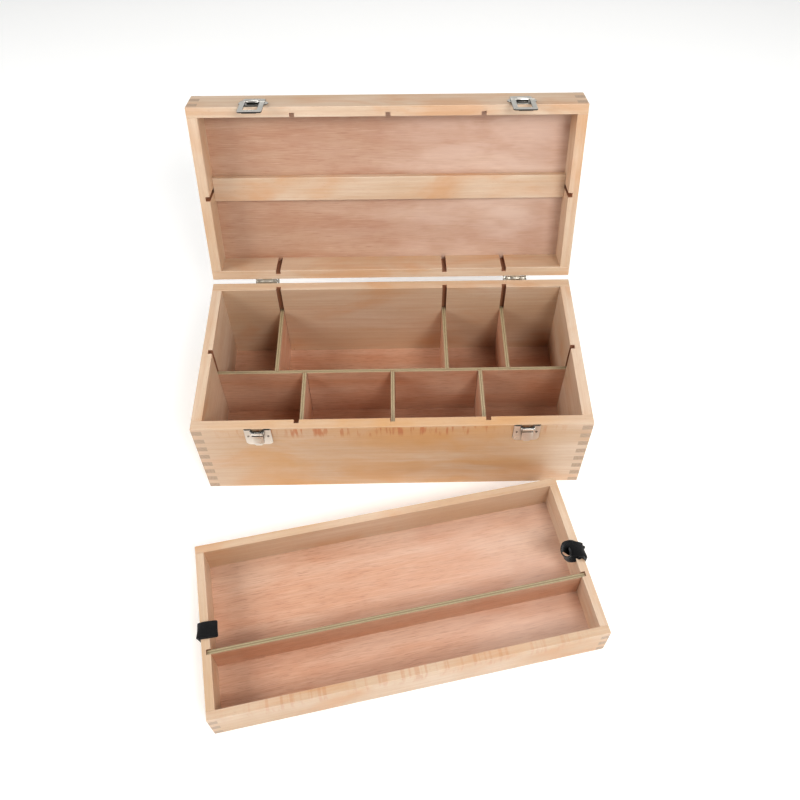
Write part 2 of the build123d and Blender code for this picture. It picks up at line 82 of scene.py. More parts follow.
# camera, floor and lights
def makeCamera():
    data = bpy.data.cameras.new("studioCamera")
    data.lens, data.sensor_width = camera["lens"], 36.0
    data.shift_x, data.shift_y = camera["shift"]
    data.clip_start, data.clip_end = 0.02, 50
    body = bpy.data.objects.new("studioCamera", data)
    scene.collection.objects.link(body)
    turn = Matrix.Rotation(radians(camera["yaw"]), 4, "Z")
    turn @= Matrix.Rotation(radians(90 - camera["pitch"]), 4, "X")
    turn @= Matrix.Rotation(radians(camera["roll"]), 4, "Z")
    body.matrix_world = Matrix.Translation(camera["place"]) @ turn
    scene.camera = body


def makeStudio():
    world = bpy.data.worlds.new("studioSky")
    world.use_nodes = True
    tree = world.node_tree
    sky = tree.nodes["Background"]
    sky.inputs["Color"].default_value = paint(*studio["sky"])
    aim = tree.nodes.new("ShaderNodeTexCoord")
    split = tree.nodes.new("ShaderNodeSeparateXYZ")
    fade = tree.nodes.new("ShaderNodeMapRange")
    fade.interpolation_type = "SMOOTHSTEP"
    for key, value in (("From Min", studio["fadeFrom"]), ("From Max", studio["fadeTo"]),
                       ("To Min", studio["skyLow"]), ("To Max", studio["skyHigh"])):
        fade.inputs[key].default_value = value
    tree.links.new(aim.outputs["Generated"], split.inputs[0])
    tree.links.new(split.outputs["Z"], fade.inputs["Value"])
    tree.links.new(fade.outputs["Result"], sky.inputs["Strength"])
    scene.world = world
    scene.view_settings.view_transform = "Standard"
    scene.view_settings.gamma = studio["contrast"]
    for name, (place, aim, width, height, watts) in studio["lights"].items():
        data = bpy.data.lights.new(name, "AREA")
        data.shape, data.size, data.size_y, data.energy = "RECTANGLE", width, height, watts
        lamp = bpy.data.objects.new(name, data)
        scene.collection.objects.link(lamp)
        lamp.location = place
        lamp.rotation_euler = (Vector(aim) - Vector(place)).to_track_quat("-Z", "Y").to_euler()
    mesh = bpy.data.meshes.new("floor")
    reach = studio["floorReach"]
    corners = [(-reach, -reach, 0), (reach, -reach, 0), (reach, reach, 0), (-reach, reach, 0)]
    mesh.from_pydata(corners, [], [(0, 1, 2, 3)])
    floor = bpy.data.objects.new("floor", mesh)
    scene.collection.objects.link(floor)
    floor.location.z = -studio["floorDrop"]
    mat = bpy.data.materials.new("floorPaper")
    mat.use_nodes = True
    shader = mat.node_tree.nodes["Principled BSDF"]
    shader.inputs["Base Color"].default_value = paint(*studio["floor"])
    shader.inputs["Roughness"].default_value = 0.9
    shader.inputs["Specular IOR Level"].default_value = 0.1
    shader.inputs["Emission Color"].default_value = paint(*studio["floor"])
    shader.inputs["Emission Strength"].default_value = studio["floorGlow"]
    mesh.materials.append(mat)


makeCamera()
makeStudio()
print("camera, floor and lights are in place")


# small helpers for node trees
def addNode(tree, kind, inputs=None, **options):
    made = tree.nodes.new(kind)
    made.location = (170 * (len(tree.nodes) % 12), -220 * (len(tree.nodes) // 12))
    for key, value in options.items():
        setattr(made, key, value)
    for key, value in (inputs or {}).items():
        if isinstance(value, bpy.types.NodeSocket):
            tree.links.new(value, made.inputs[key])
        else:
            made.inputs[key].default_value = value
    return made


def calc(tree, operation, a, b=0.0, c=0.0, clamp=False):
    made = addNode(tree, "ShaderNodeMath", {0: a, 1: b, 2: c}, operation=operation, use_clamp=clamp)
    return made.outputs[0]


def vecCalc(tree, operation, a, b=(0, 0, 0)):
    made = addNode(tree, "ShaderNodeVectorMath", {0: a, 1: b}, operation=operation)
    return made.outputs[0]


def ramp(tree, value, low, high, toLow=0.0, toHigh=1.0):
    made = addNode(tree, "ShaderNodeMapRange", {
        "Value": value, "From Min": low, "From Max": high, "To Min": toLow, "To Max": toHigh,
    }, interpolation_type="SMOOTHSTEP")
    return made.outputs["Result"]


def blendColour(tree, factor, a, b):
    made = addNode(tree, "ShaderNodeMix", {0: factor, 6: a, 7: b}, data_type="RGBA")
    return made.outputs[2]


def noiseAt(tree, vector, w=0.0, detail=2.0, rough=0.5, twist=0.0, out="Fac"):
    made = addNode(tree, "ShaderNodeTexNoise", {
        "Vector": vector, "W": w, "Scale": 1.0, "Detail": detail, "Roughness": rough,
        "Distortion": twist,
    }, noise_dimensions="4D")
    return made.outputs[out]


def newGroup(name, inputs, outputs):
    tree = bpy.data.node_groups.new(name, "ShaderNodeTree")
    kinds = {"vector": "NodeSocketVector", "value": "NodeSocketFloat"}
    for label, kind, value in inputs:
        made = tree.interface.new_socket(label, in_out="INPUT", socket_type=kinds[kind])
        if value is not None:
            made.default_value = value
    for label, kind in outputs:
        tree.interface.new_socket(label, in_out="OUTPUT", socket_type=kinds[kind])
    start = tree.nodes.new("NodeGroupInput")
    end = tree.nodes.new("NodeGroupOutput")
    end.location = (2300, 0)
    return tree, start.outputs, end.inputs


def useGroup(tree, group, inputs):
    return addNode(tree, "ShaderNodeGroup", inputs, node_tree=group).outputs


def newMaterial(name, metallic=0.0, roughness=0.5, specular=0.5, **more):
    mat = bpy.data.materials.new(name)
    mat.use_nodes = True
    shader = mat.node_tree.nodes["Principled BSDF"]
    shader.inputs["Metallic"].default_value = metallic
    shader.inputs["Roughness"].default_value = roughness
    shader.inputs["Specular IOR Level"].default_value = specular
    for key, value in more.items():
        shader.inputs[key.replace("_", " ")].default_value = value
    return mat, mat.node_tree, shader.inputs


def bump(tree, height, strength, distance):
    made = addNode(tree, "ShaderNodeBump", {
        "Height": height, "Strength": strength, "Distance": distance})
    return made.outputs[0]


# the wood's own patterns: x of the board coordinate runs along the grain, z through the thickness
def makeSolidGrain():
    tree, given, out = newGroup("solidGrain", [
        ("Board", "vector", None), ("Seed", "value", 0.0), ("Ring Spacing", "value", 0.004),
        ("Waviness", "value", 0.006), ("Fleck Length", "value", 0.0045),
    ], [("Rings", "value"), ("Streaks", "value"), ("Fibres", "value"), ("Flecks", "value"),
        ("Cloud", "value"), ("Relief", "value")])
    board, seed = given["Board"], given["Seed"]
    drift = noiseAt(tree, vecCalc(tree, "MULTIPLY", board, (3.0, 14.0, 14.0)), seed, 2.0, out="Color")
    drift = vecCalc(tree, "SUBTRACT", drift, (0.5, 0.5, 0.5))
    scaled = addNode(tree, "ShaderNodeVectorMath", {0: drift, "Scale": given["Waviness"]},
                     operation="SCALE").outputs[0]
    bent = vecCalc(tree, "ADD", board, scaled)
    across = addNode(tree, "ShaderNodeVectorMath",
                     {0: vecCalc(tree, "MULTIPLY", bent, (0.0, 1.0, 1.0))},
                     operation="LENGTH").outputs["Value"]
    turns = calc(tree, "DIVIDE", across, given["Ring Spacing"])
    wave = calc(tree, "SINE", calc(tree, "MULTIPLY", turns, 2 * pi))
    rings = calc(tree, "POWER", ramp(tree, wave, -1.0, 1.0), 2.2)
    streaks = ramp(tree, noiseAt(tree, vecCalc(tree, "MULTIPLY", bent, (7.0, 210.0, 210.0)),
                                 calc(tree, "ADD", seed, 3.1), 4.0, 0.6), 0.33, 0.67)
    fibres = noiseAt(tree, vecCalc(tree, "MULTIPLY", bent, (60.0, 1500.0, 1500.0)),
                     calc(tree, "ADD", seed, 7.7), 2.0, 0.6)
    length = calc(tree, "DIVIDE", 0.7, given["Fleck Length"])
    shape = addNode(tree, "ShaderNodeCombineXYZ", {
        "X": length, "Y": calc(tree, "MULTIPLY", length, 5.5), "Z": calc(tree, "MULTIPLY", length, 5.5)})
    cells = addNode(tree, "ShaderNodeTexVoronoi", {
        "Vector": vecCalc(tree, "MULTIPLY", bent, shape.outputs[0]),
        "W": seed, "Scale": 1.0, "Randomness": 1.0}, voronoi_dimensions="4D")
    picked = addNode(tree, "ShaderNodeSeparateColor", {"Color": cells.outputs["Color"]})
    flecks = calc(tree, "MULTIPLY", ramp(tree, cells.outputs["Distance"], 0.36, 0.14),
                  ramp(tree, picked.outputs[0], 0.35, 0.6))
    cloud = ramp(tree, noiseAt(tree, vecCalc(tree, "MULTIPLY", board, (5.0, 17.0, 17.0)),
                               calc(tree, "ADD", seed, 5.3), 2.0, 0.5, 0.4), 0.3, 0.7)
    relief = calc(tree, "SUBTRACT", calc(tree, "MULTIPLY", fibres, 0.8),
                  calc(tree, "MULTIPLY", flecks, 0.5))
    for label, value in (("Rings", rings), ("Streaks", streaks), ("Fibres", fibres),
                         ("Flecks", flecks), ("Cloud", cloud), ("Relief", relief)):
        tree.links.new(value, out[label])
    return tree


def makeVeneerGrain():
    tree, given, out = newGroup("veneerGrain", [
        ("Board", "vector", None), ("Seed", "value", 0.0), ("Figure Width", "value", 0.03),
    ], [("Figure", "value"), ("Dashes", "value"), ("Fibres", "value"), ("Relief", "value")])
    board, seed = given["Board"], given["Seed"]
    wide = calc(tree, "DIVIDE", 1.0, given["Figure Width"])
    shape = addNode(tree, "ShaderNodeCombineXYZ", {
        "X": calc(tree, "MULTIPLY", wide, 0.13), "Y": wide, "Z": 30.0})
    figure = ramp(tree, noiseAt(tree, vecCalc(tree, "MULTIPLY", board, shape.outputs[0]),
                                seed, 4.0, 0.55, 0.5), 0.3, 0.7)
    dashes = noiseAt(tree, vecCalc(tree, "MULTIPLY", board, (75.0, 1500.0, 700.0)),
                     calc(tree, "ADD", seed, 2.9), 2.0, 0.55, 0.15)
    dashes = ramp(tree, dashes, 0.52, 0.72)
    fibres = noiseAt(tree, vecCalc(tree, "MULTIPLY", board, (34.0, 1250.0, 900.0)),
                     calc(tree, "ADD", seed, 8.2), 2.0, 0.6)
    relief = calc(tree, "SUBTRACT", fibres, calc(tree, "MULTIPLY", dashes, 0.7))
    for label, value in (("Figure", figure), ("Dashes", dashes), ("Fibres", fibres),
                         ("Relief", relief)):
        tree.links.new(value, out[label])
    return tree


def makeLayers():
    # the plies seen on a sheet's edge, counted through its thickness
    tree, given, out = newGroup("plyLayers", [
        ("Board", "vector", None), ("Seed", "value", 0.0), ("Ply", "value", 0.00125),
    ], [("Crossed", "value"), ("Glue", "value"), ("Pores", "value")])
    parts = addNode(tree, "ShaderNodeSeparateXYZ", {0: given["Board"]})
    wobble = noiseAt(tree, vecCalc(tree, "MULTIPLY", given["Board"], (25.0, 25.0, 0.0)),
                     given["Seed"], 2.0)
    depth = calc(tree, "ADD", parts.outputs["Z"], calc(tree, "MULTIPLY", wobble, 0.0002))
    count = calc(tree, "DIVIDE", depth, calc(tree, "MULTIPLY", given["Ply"], 2.0))
    wave = calc(tree, "COSINE", calc(tree, "MULTIPLY", count, 2 * pi))
    crossed = ramp(tree, wave, -0.25, 0.25)
    glue = ramp(tree, calc(tree, "ABSOLUTE", wave), 0.28, 0.05)
    pores = noiseAt(tree, vecCalc(tree, "MULTIPLY", given["Board"], (800.0, 900.0, 1600.0)),
                    given["Seed"], 2.0, 0.6)
    for label, value in (("Crossed", crossed), ("Glue", glue), ("Pores", pores)):
        tree.links.new(value, out[label])
    return tree


def makeHandling():
    # faint grime and dulled patches from being handled, for wood and metal alike
    tree, given, out = newGroup("handling", [
        ("Place", "vector", None), ("Size", "value", 0.05), ("Seed", "value", 0.0),
    ], [("Grime", "value"), ("Dull", "value"), ("Specks", "value")])
    spread = addNode(tree, "ShaderNodeVectorMath", {
        0: given["Place"], "Scale": calc(tree, "DIVIDE", 1.0, given["Size"])},
        operation="SCALE").outputs[0]
    grime = ramp(tree, noiseAt(tree, spread, given["Seed"], 4.0, 0.6, 0.3), 0.42, 0.75)
    dull = noiseAt(tree, vecCalc(tree, "MULTIPLY", spread, (3.0, 3.0, 3.0)),
                   calc(tree, "ADD", given["Seed"], 4.4), 3.0, 0.6)
    dots = addNode(tree, "ShaderNodeTexVoronoi", {
        "Vector": vecCalc(tree, "MULTIPLY", given["Place"], (38.0, 38.0, 38.0)),
        "W": given["Seed"], "Scale": 1.0}, voronoi_dimensions="4D")
    specks = ramp(tree, dots.outputs["Distance"], 0.045, 0.02)
    for label, value in (("Grime", grime), ("Dull", dull), ("Specks", specks)):
        tree.links.new(value, out[label])
    return tree


solidGrain = makeSolidGrain()
veneerGrain = makeVeneerGrain()
plyLayers = makeLayers()
handling = makeHandling()


def boardInputs(tree):
    board = addNode(tree, "ShaderNodeAttribute", attribute_name="boardPlace").outputs["Vector"]
    seed = addNode(tree, "ShaderNodeAttribute", attribute_name="boardSeed").outputs["Fac"]
    marks = addNode(tree, "ShaderNodeAttribute", attribute_name="boardMarks").outputs["Vector"]
    split = addNode(tree, "ShaderNodeSeparateXYZ", {0: marks}).outputs
    return board, seed, split["X"], split["Y"], split["Z"]  # end grain, grooves (painted shade), arris


beech = {
    "pale": (222, 203, 182), "tan": (209, 183, 154), "warm": (204, 159, 116),
    "streak": (195, 155, 119), "fleck": (165, 116, 84),
    "end": (190, 166, 144), "endDark": (172, 146, 123),
    # the groove colour is painted shade inside the grooves, over the raw wood's own darker tone
    "groove": (149, 87, 51), "grooveMix": 0.75, "speck": (91, 62, 42),
    "blush": 0.5, "blushTone": (205, 148, 94),  # warm patches on every board
    "frontBlush": 0.68, "frontTone": (207, 158, 99),  # warmer orange patches towards the front wall's middle
    "stroke": (192, 122, 78), "trayStroke": 0.32, "bodyStroke": 0.55,  # short marks by the rims
    "strokeReach": (0.023, 0.01),  # metres below the rim where the short marks fade in
    "boardEnds": (0.215, 0.13),  # metres from a board's middle where its blush and marks fade in
    "streakMix": 0.34, "ringMix": 0.11, "fleckMix": 0.2, "fibreMix": 0.12, "arrisMix": 0.25,
    "grimeMix": 0.07, "speckMix": 0.5, "endRings": 0.35, "endFibres": 0.4, "endRough": 0.12,
    "rough": (0.4, 0.55), "relief": (0.25, 0.00015), "wornSize": 0.09,
    "ringSpacing": 0.0042, "waviness": 0.007, "fleckLength": 0.0042,
}


def makeBeech():
    mat, tree, shader = newMaterial("oiledBeech", roughness=0.5, specular=0.5, Coat_Weight=0.25,
                                    Coat_Roughness=0.36)
    board, seed, endGrain, groove, arris = boardInputs(tree)
    grain = useGroup(tree, solidGrain, {
        "Board": board, "Seed": seed, "Ring Spacing": beech["ringSpacing"],
        "Waviness": beech["waviness"], "Fleck Length": beech["fleckLength"]})
    worn = useGroup(tree, handling, {"Place": board, "Size": beech["wornSize"], "Seed": seed})
    tone = blendColour(tree, grain["Cloud"], paint(*beech["pale"]), paint(*beech["tan"]))
    tone = blendColour(tree, calc(tree, "MULTIPLY", grain["Streaks"], beech["streakMix"]), tone,
                       paint(*beech["streak"]))
    tone = blendColour(tree, calc(tree, "MULTIPLY", grain["Rings"], beech["ringMix"]), tone,
                       paint(*beech["warm"]))
    patch = noiseAt(tree, vecCalc(tree, "MULTIPLY", board, (9.0, 20.0, 20.0)),
                    calc(tree, "ADD", seed, 9.3), 3.0, 0.55, 0.6)
    tone = blendColour(tree, ramp(tree, patch, 0.48, 0.72, 0.0, beech["blush"]), tone,
                       paint(*beech["blushTone"]))
    rim = addNode(tree, "ShaderNodeAttribute", attribute_name="boardRim").outputs["Vector"]
    rimParts = addNode(tree, "ShaderNodeSeparateXYZ", {0: rim}).outputs
    across = addNode(tree, "ShaderNodeSeparateXYZ", {0: board}).outputs["X"]
    inward = ramp(tree, calc(tree, "ABSOLUTE", across), *beech["boardEnds"])
    blush = calc(tree, "MULTIPLY", inward, calc(tree, "MULTIPLY", rimParts["Z"], ramp(
        tree, patch, 0.3, 0.6, 0.15, beech["frontBlush"])))
    tone = blendColour(tree, blush, tone, paint(*beech["frontTone"]))
    strokes = noiseAt(tree, vecCalc(tree, "MULTIPLY", board, (230.0, 26.0, 0.0)), seed, 2.0)
    groups = noiseAt(tree, vecCalc(tree, "MULTIPLY", board, (22.0, 0.0, 0.0)),
                     calc(tree, "ADD", seed, 1.7), 1.0)
    strokes = calc(tree, "MULTIPLY", ramp(tree, strokes, 0.5, 0.62), ramp(tree, groups, 0.32, 0.46))
    strokes = calc(tree, "MULTIPLY", strokes, ramp(tree, rimParts["X"], *beech["strokeReach"]))
    depth = calc(tree, "MULTIPLY_ADD", rimParts["Z"], beech["bodyStroke"],
                 calc(tree, "MULTIPLY", rimParts["Y"], beech["trayStroke"]))
    strokes = calc(tree, "MULTIPLY", strokes, calc(tree, "MULTIPLY", depth, inward))
    onFace = calc(tree, "MULTIPLY", rimParts["Z"], ramp(tree, rimParts["X"], 0.0025, 0.0012))
    strokes = calc(tree, "MULTIPLY", strokes, calc(tree, "SUBTRACT", 1.0, onFace))
    tone = blendColour(tree, strokes, tone, paint(*beech["stroke"]))
    tone = blendColour(tree, calc(tree, "MULTIPLY", grain["Flecks"], beech["fleckMix"]), tone,
                       paint(*beech["fleck"]))
    fibres = ramp(tree, grain["Fibres"], 0.35, 0.7, 0.0, beech["fibreMix"])
    tone = blendColour(tree, fibres, tone, paint(*beech["fleck"]))
    endTone = blendColour(tree, calc(tree, "MULTIPLY", grain["Rings"], beech["endRings"]),
                          paint(*beech["end"]), paint(*beech["endDark"]))
    endTone = blendColour(tree, ramp(tree, grain["Fibres"], 0.3, 0.7, 0.0, beech["endFibres"]),
                          endTone, paint(*beech["endDark"]))
    tone = blendColour(tree, endGrain, tone, endTone)
    # painted shade inside the grooves, over the raw wood's own darker tone
    tone = blendColour(tree, calc(tree, "MULTIPLY", groove, beech["grooveMix"]), tone,
                       paint(*beech["groove"]))
    tone = blendColour(tree, calc(tree, "MULTIPLY", arris, beech["arrisMix"]), tone,
                       paint(*beech["pale"]))
    tone = blendColour(tree, calc(tree, "MULTIPLY", worn["Grime"], beech["grimeMix"]), tone,
                       paint(*beech["fleck"]))
    tone = blendColour(tree, calc(tree, "MULTIPLY", worn["Specks"], beech["speckMix"]), tone,
                       paint(*beech["speck"]))
    tree.links.new(tone, shader["Base Color"])
    rough = ramp(tree, worn["Dull"], 0.3, 0.7, *beech["rough"])
    rough = calc(tree, "ADD", rough, calc(tree, "MULTIPLY", endGrain, beech["endRough"]))
    tree.links.new(rough, shader["Roughness"])
    tree.links.new(bump(tree, grain["Relief"], *beech["relief"]), shader["Normal"])
    return mat


veneer = {
    "pale": (217, 184, 160), "mid": (206, 157, 125), "deep": (196, 132, 96),
    "dash": (153, 92, 66), "edge": (180, 164, 131), "edgeDark": (145, 128, 98),
    "light": (232, 204, 182),
    "glue": (93, 74, 53), "figureWidth": 0.032,
    "dashMix": 0.46, "darkFibres": 0.17, "lightFibres": 0.22, "poreMix": 0.4, "glueMix": 0.3,
    "grimeMix": 0.4, "arrisMix": 0.2, "rough": (0.38, 0.52), "relief": (0.25, 0.00015),
    # the pale clouds below are a rubbed finish with painted sheen that grows towards one end
    "wornSize": 0.08, "rubAndSheen": 0.0, "rubAndSheenTone": (226, 204, 190), "sheenEnds": (-0.16, 0.16),
}
# the tray panel: veneer with pale rubbed clouds and painted sheen
trayVeneer = dict(veneer, rubAndSheen=0.4)
# the lid panel: the veneer's tones painted darker for shade, with pale rubbed clouds and painted sheen
shadedLidVeneer = dict(veneer, pale=(196, 162, 136), mid=(180, 134, 104), deep=(170, 114, 82), rubAndSheen=0.62)


def makeVeneer(name, settings):
    mat, tree, shader = newMaterial(name, roughness=0.45, specular=0.5, Coat_Weight=0.25,
                                    Coat_Roughness=0.36)
    board, seed, edge, _, arris = boardInputs(tree)
    grain = useGroup(tree, veneerGrain, {
        "Board": board, "Seed": seed, "Figure Width": settings["figureWidth"]})
    layers = useGroup(tree, plyLayers, {"Board": board, "Seed": seed})
    worn = useGroup(tree, handling, {"Place": board, "Size": settings["wornSize"], "Seed": seed})
    tone = blendColour(tree, grain["Figure"], paint(*settings["mid"]), paint(*settings["pale"]))
    tone = blendColour(tree, calc(tree, "MULTIPLY", worn["Grime"], settings["grimeMix"]), tone,
                       paint(*settings["deep"]))
    tone = blendColour(tree, calc(tree, "MULTIPLY", grain["Dashes"], settings["dashMix"]), tone,
                       paint(*settings["dash"]))
    tone = blendColour(tree, ramp(tree, grain["Fibres"], 0.42, 0.64, 0.0, settings["darkFibres"]),
                       tone, paint(*settings["dash"]))
    tone = blendColour(tree, ramp(tree, grain["Fibres"], 0.44, 0.3, 0.0, settings["lightFibres"]),
                       tone, paint(*settings["light"]))
    if settings["rubAndSheen"]:  # pale rubbed clouds with painted sheen, thicker towards one end
        across = addNode(tree, "ShaderNodeSeparateXYZ", {0: board}).outputs["X"]
        rubAndSheenMask = noiseAt(tree, vecCalc(tree, "MULTIPLY", board, (14.0, 38.0, 38.0)),
                         calc(tree, "ADD", seed, 3.1), 3.0, 0.6, 0.25)
        rubAndSheenMask = calc(tree, "MULTIPLY", ramp(tree, rubAndSheenMask, 0.34, 0.66, 0.5, 1.0),
                      ramp(tree, across, *settings["sheenEnds"], 0.2, 1.0))
        tone = blendColour(tree, calc(tree, "MULTIPLY", rubAndSheenMask, settings["rubAndSheen"]), tone,
                           paint(*settings["rubAndSheenTone"]))
    rim = blendColour(tree, layers["Crossed"], paint(*settings["edge"]), paint(*settings["edgeDark"]))
    rim = blendColour(tree, ramp(tree, layers["Pores"], 0.45, 0.65, 0.0, settings["poreMix"]),
                      rim, paint(*settings["edgeDark"]))
    rim = blendColour(tree, calc(tree, "MULTIPLY", layers["Glue"], settings["glueMix"]), rim,
                      paint(*settings["glue"]))
    tone = blendColour(tree, edge, tone, rim)
    tone = blendColour(tree, calc(tree, "MULTIPLY", arris, settings["arrisMix"]), tone,
                       paint(*settings["pale"]))
    tree.links.new(tone, shader["Base Color"])
    tree.links.new(ramp(tree, worn["Dull"], 0.3, 0.7, *settings["rough"]), shader["Roughness"])
    tree.links.new(bump(tree, grain["Relief"], *settings["relief"]), shader["Normal"])
    return mat


# edge is the colour of painted shade on the latch stampings' sides, backs and undersides
nickel = {"bright": (236, 233, 226), "dark": (176, 168, 156), "edge": (30, 25, 22),
          "rough": (0.26, 0.38), "metal": 0.88, "grimeMix": 0.22, "paintedShadeMix": 0.96, "wornSize": 0.03}


def makeNickel(name, settings):
    mat, tree, shader = newMaterial(name, metallic=settings["metal"], roughness=0.2)
    place = addNode(tree, "ShaderNodeTexCoord").outputs["Object"]
    worn = useGroup(tree, handling, {"Place": place, "Size": settings["wornSize"], "Seed": 2.0})
    tone = blendColour(tree, calc(tree, "MULTIPLY", worn["Grime"], settings["grimeMix"]),
                       paint(*settings["bright"]), paint(*settings["dark"]))
    # painted shade: faces marked on the latch stampings turn near black
    shade = addNode(tree, "ShaderNodeAttribute", attribute_name="paintedShade").outputs["Fac"]
    tone = blendColour(tree, calc(tree, "MULTIPLY", shade, settings["paintedShadeMix"]), tone,
                       paint(*settings["edge"]))
    tree.links.new(tone, shader["Base Color"])
    low, high = settings["rough"]
    tree.links.new(ramp(tree, worn["Dull"], 0.3, 0.7, low, high), shader["Roughness"])
    fine = noiseAt(tree, vecCalc(tree, "MULTIPLY", place, (900.0, 5000.0, 900.0)), 1.0, 2.0)
    tree.links.new(bump(tree, fine, 0.05, 0.00005), shader["Normal"])
    return mat


webbing = {
    "thread": (30, 30, 32), "shade": (9, 9, 10), "fuzz": (58, 57, 58),
    "pick": 0.0011, "rib": 0.0016,  # thread spacing along and across, metres
}


def makeWebbing():
    mat, tree, shader = newMaterial("blackWebbing", roughness=0.82, specular=0.25,
                                    Sheen_Weight=0.35, Sheen_Roughness=0.4)
    uv = addNode(tree, "ShaderNodeUVMap", uv_map="strapMap").outputs[0]
    parts = addNode(tree, "ShaderNodeSeparateXYZ", {0: uv}).outputs
    along = calc(tree, "MULTIPLY", parts["X"], 2 * pi / webbing["pick"])
    over = calc(tree, "MULTIPLY", parts["Y"], 2 * pi / webbing["rib"])
    rib = calc(tree, "ABSOLUTE", calc(tree, "SINE", over))
    pick = calc(tree, "SINE", calc(tree, "ADD", along,
                calc(tree, "MULTIPLY", calc(tree, "SIGN", calc(tree, "SINE", over)), pi / 2)))
    weave = calc(tree, "MULTIPLY", rib, ramp(tree, pick, -1.0, 1.0, 0.35, 1.0))
    place = addNode(tree, "ShaderNodeTexCoord").outputs["Object"]
    fuzz = noiseAt(tree, vecCalc(tree, "MULTIPLY", place, (900.0, 900.0, 900.0)), 0.0, 3.0, 0.7)
    worn = useGroup(tree, handling, {"Place": place, "Size": 0.01, "Seed": 6.0})
    tone = blendColour(tree, weave, paint(*webbing["shade"]), paint(*webbing["thread"]))
    tone = blendColour(tree, calc(tree, "MULTIPLY", ramp(tree, fuzz, 0.5, 0.75), 0.35), tone,
                       paint(*webbing["fuzz"]))
    tone = blendColour(tree, calc(tree, "MULTIPLY", worn["Grime"], 0.3), tone,
                       paint(*webbing["fuzz"]))
    tree.links.new(tone, shader["Base Color"])
    height = calc(tree, "ADD", weave, calc(tree, "MULTIPLY", fuzz, 0.3))
    tree.links.new(bump(tree, height, 0.8, 0.0003), shader["Normal"])
    return mat


beechMat = makeBeech()
veneerMat = makeVeneer("pinkVeneer", veneer)
panelMats = {"tray_panel": makeVeneer("rubbedSheenVeneer", trayVeneer),
             "lid_panel": makeVeneer("shadedSheenVeneer", shadedLidVeneer)}
hardware = makeNickel("brightNickel", nickel)
hingeMetal = makeNickel("dullNickel", dict(nickel, bright=(190, 184, 172), dark=(120, 110, 96),
                                           rough=(0.28, 0.5)))
screwMat = makeNickel("dullSteel", dict(nickel, bright=(150, 144, 134), dark=(78, 70, 62),
                                        rough=(0.24, 0.42)))
webMat = makeWebbing()
print("materials are ready")

# frames that the boards are square to
lidJoint = next(j for j in frame["joints"] if j["name"] == "lid_hinge")
pivot = Matrix.Translation(lidJoint["pos_m"])
shutTurn = Matrix.Rotation(radians(lidJoint["range_deg"][0]), 4, Vector(lidJoint["axis"]))
shutLid = pivot @ shutTurn @ pivot.inverted()  # from the open lid to where it lies when shut
trayYaw = 10.94  # degrees that the tray is turned on the table
trayLow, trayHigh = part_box("tray_panel")
trayMiddle = Vector(((trayLow.x + trayHigh.x) / 2, (trayLow.y + trayHigh.y) / 2, 0))
trayPlace = Matrix.Translation(trayMiddle) @ Matrix.Rotation(radians(trayYaw), 4, "Z")
squareTo = {"body": Matrix.Identity(4), "lid": shutLid, "tray": trayPlace.inverted()}
bodyOf = {n: b for b, ns in frame["record"]["behaviour"]["bodies"].items() for n in ns}

# node: (frame, grain axis, thickness axis, pattern seed, rounding in mm)
boards = {
    "front_wall": ("body", 0, 1, 1.3, 0.6), "back_wall": ("body", 0, 1, 9.1, 0.6),
    "left_wall": ("body", 1, 0, 4.2, 0.6), "right_wall": ("body", 1, 0, 6.7, 0.6),
    "lid_front_rail": ("lid", 0, 1, 11.4, 0.6), "lid_back_rail": ("lid", 0, 1, 13.8, 0.6),
    "lid_left_rail": ("lid", 1, 0, 15.2, 0.6), "lid_right_rail": ("lid", 1, 0, 17.9, 0.6),
    "lid_batten": ("lid", 0, 2, 21.5, 0.7),
    "tray_front_rail": ("tray", 0, 1, 23.3, 0.5), "tray_back_rail": ("tray", 0, 1, 25.1, 0.5),
    "tray_left_rail": ("tray", 1, 0, 27.4, 0.5), "tray_right_rail": ("tray", 1, 0, 29.6, 0.5),
}
sheets = {
    "bottom_panel": ("body", 0, 2, 31.2, 0.2), "lid_panel": ("lid", 0, 2, 33.7, 0.2),
    "tray_panel": ("tray", 0, 2, 35.3, 0.0), "long_divider": ("body", 0, 1, 37.9, 0.25),
    "tray_divider": ("tray", 0, 1, 39.4, 0.25),
    "back_divider_left": ("body", 1, 0, 41.1, 0.25), "back_divider_middle": ("body", 1, 0, 43.5, 0.25),
    "back_divider_right": ("body", 1, 0, 45.8, 0.25), "front_divider_left": ("body", 1, 0, 47.2, 0.25),
    "front_divider_middle": ("body", 1, 0, 49.6, 0.25), "front_divider_right": ("body", 1, 0, 51.3, 0.25),
}


def cleanCopy(node):
    bm = bmesh.new()
    bm.from_mesh(nodes[node].data)
    bmesh.ops.remove_doubles(bm, verts=bm.verts, dist=2e-6)
    bmesh.ops.dissolve_limit(bm, angle_limit=radians(0.6), verts=bm.verts, edges=bm.edges)
    return bm


def finishPiece(bm, node, name, mat, smooth=None):
    mesh = bpy.data.meshes.new(name)
    bm.to_mesh(mesh)
    bm.free()
    mesh.materials.append(mat)
    piece = bpy.data.objects.new(name, mesh)
    scene.collection.objects.link(piece)
    if smooth:
        mesh.shade_smooth()
        mesh.set_sharp_from_angle(angle=radians(smooth))
    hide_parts(node)
    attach(piece, bodyOf[node])
    return piece


def carcaseOf(frameName, names):
    corners = [squareTo[frameName] @ v.co for n in names for v in nodes[n].data.vertices]
    low = Vector(min(c[i] for c in corners) for i in range(3))
    high = Vector(max(c[i] for c in corners) for i in range(3))
    return low, high


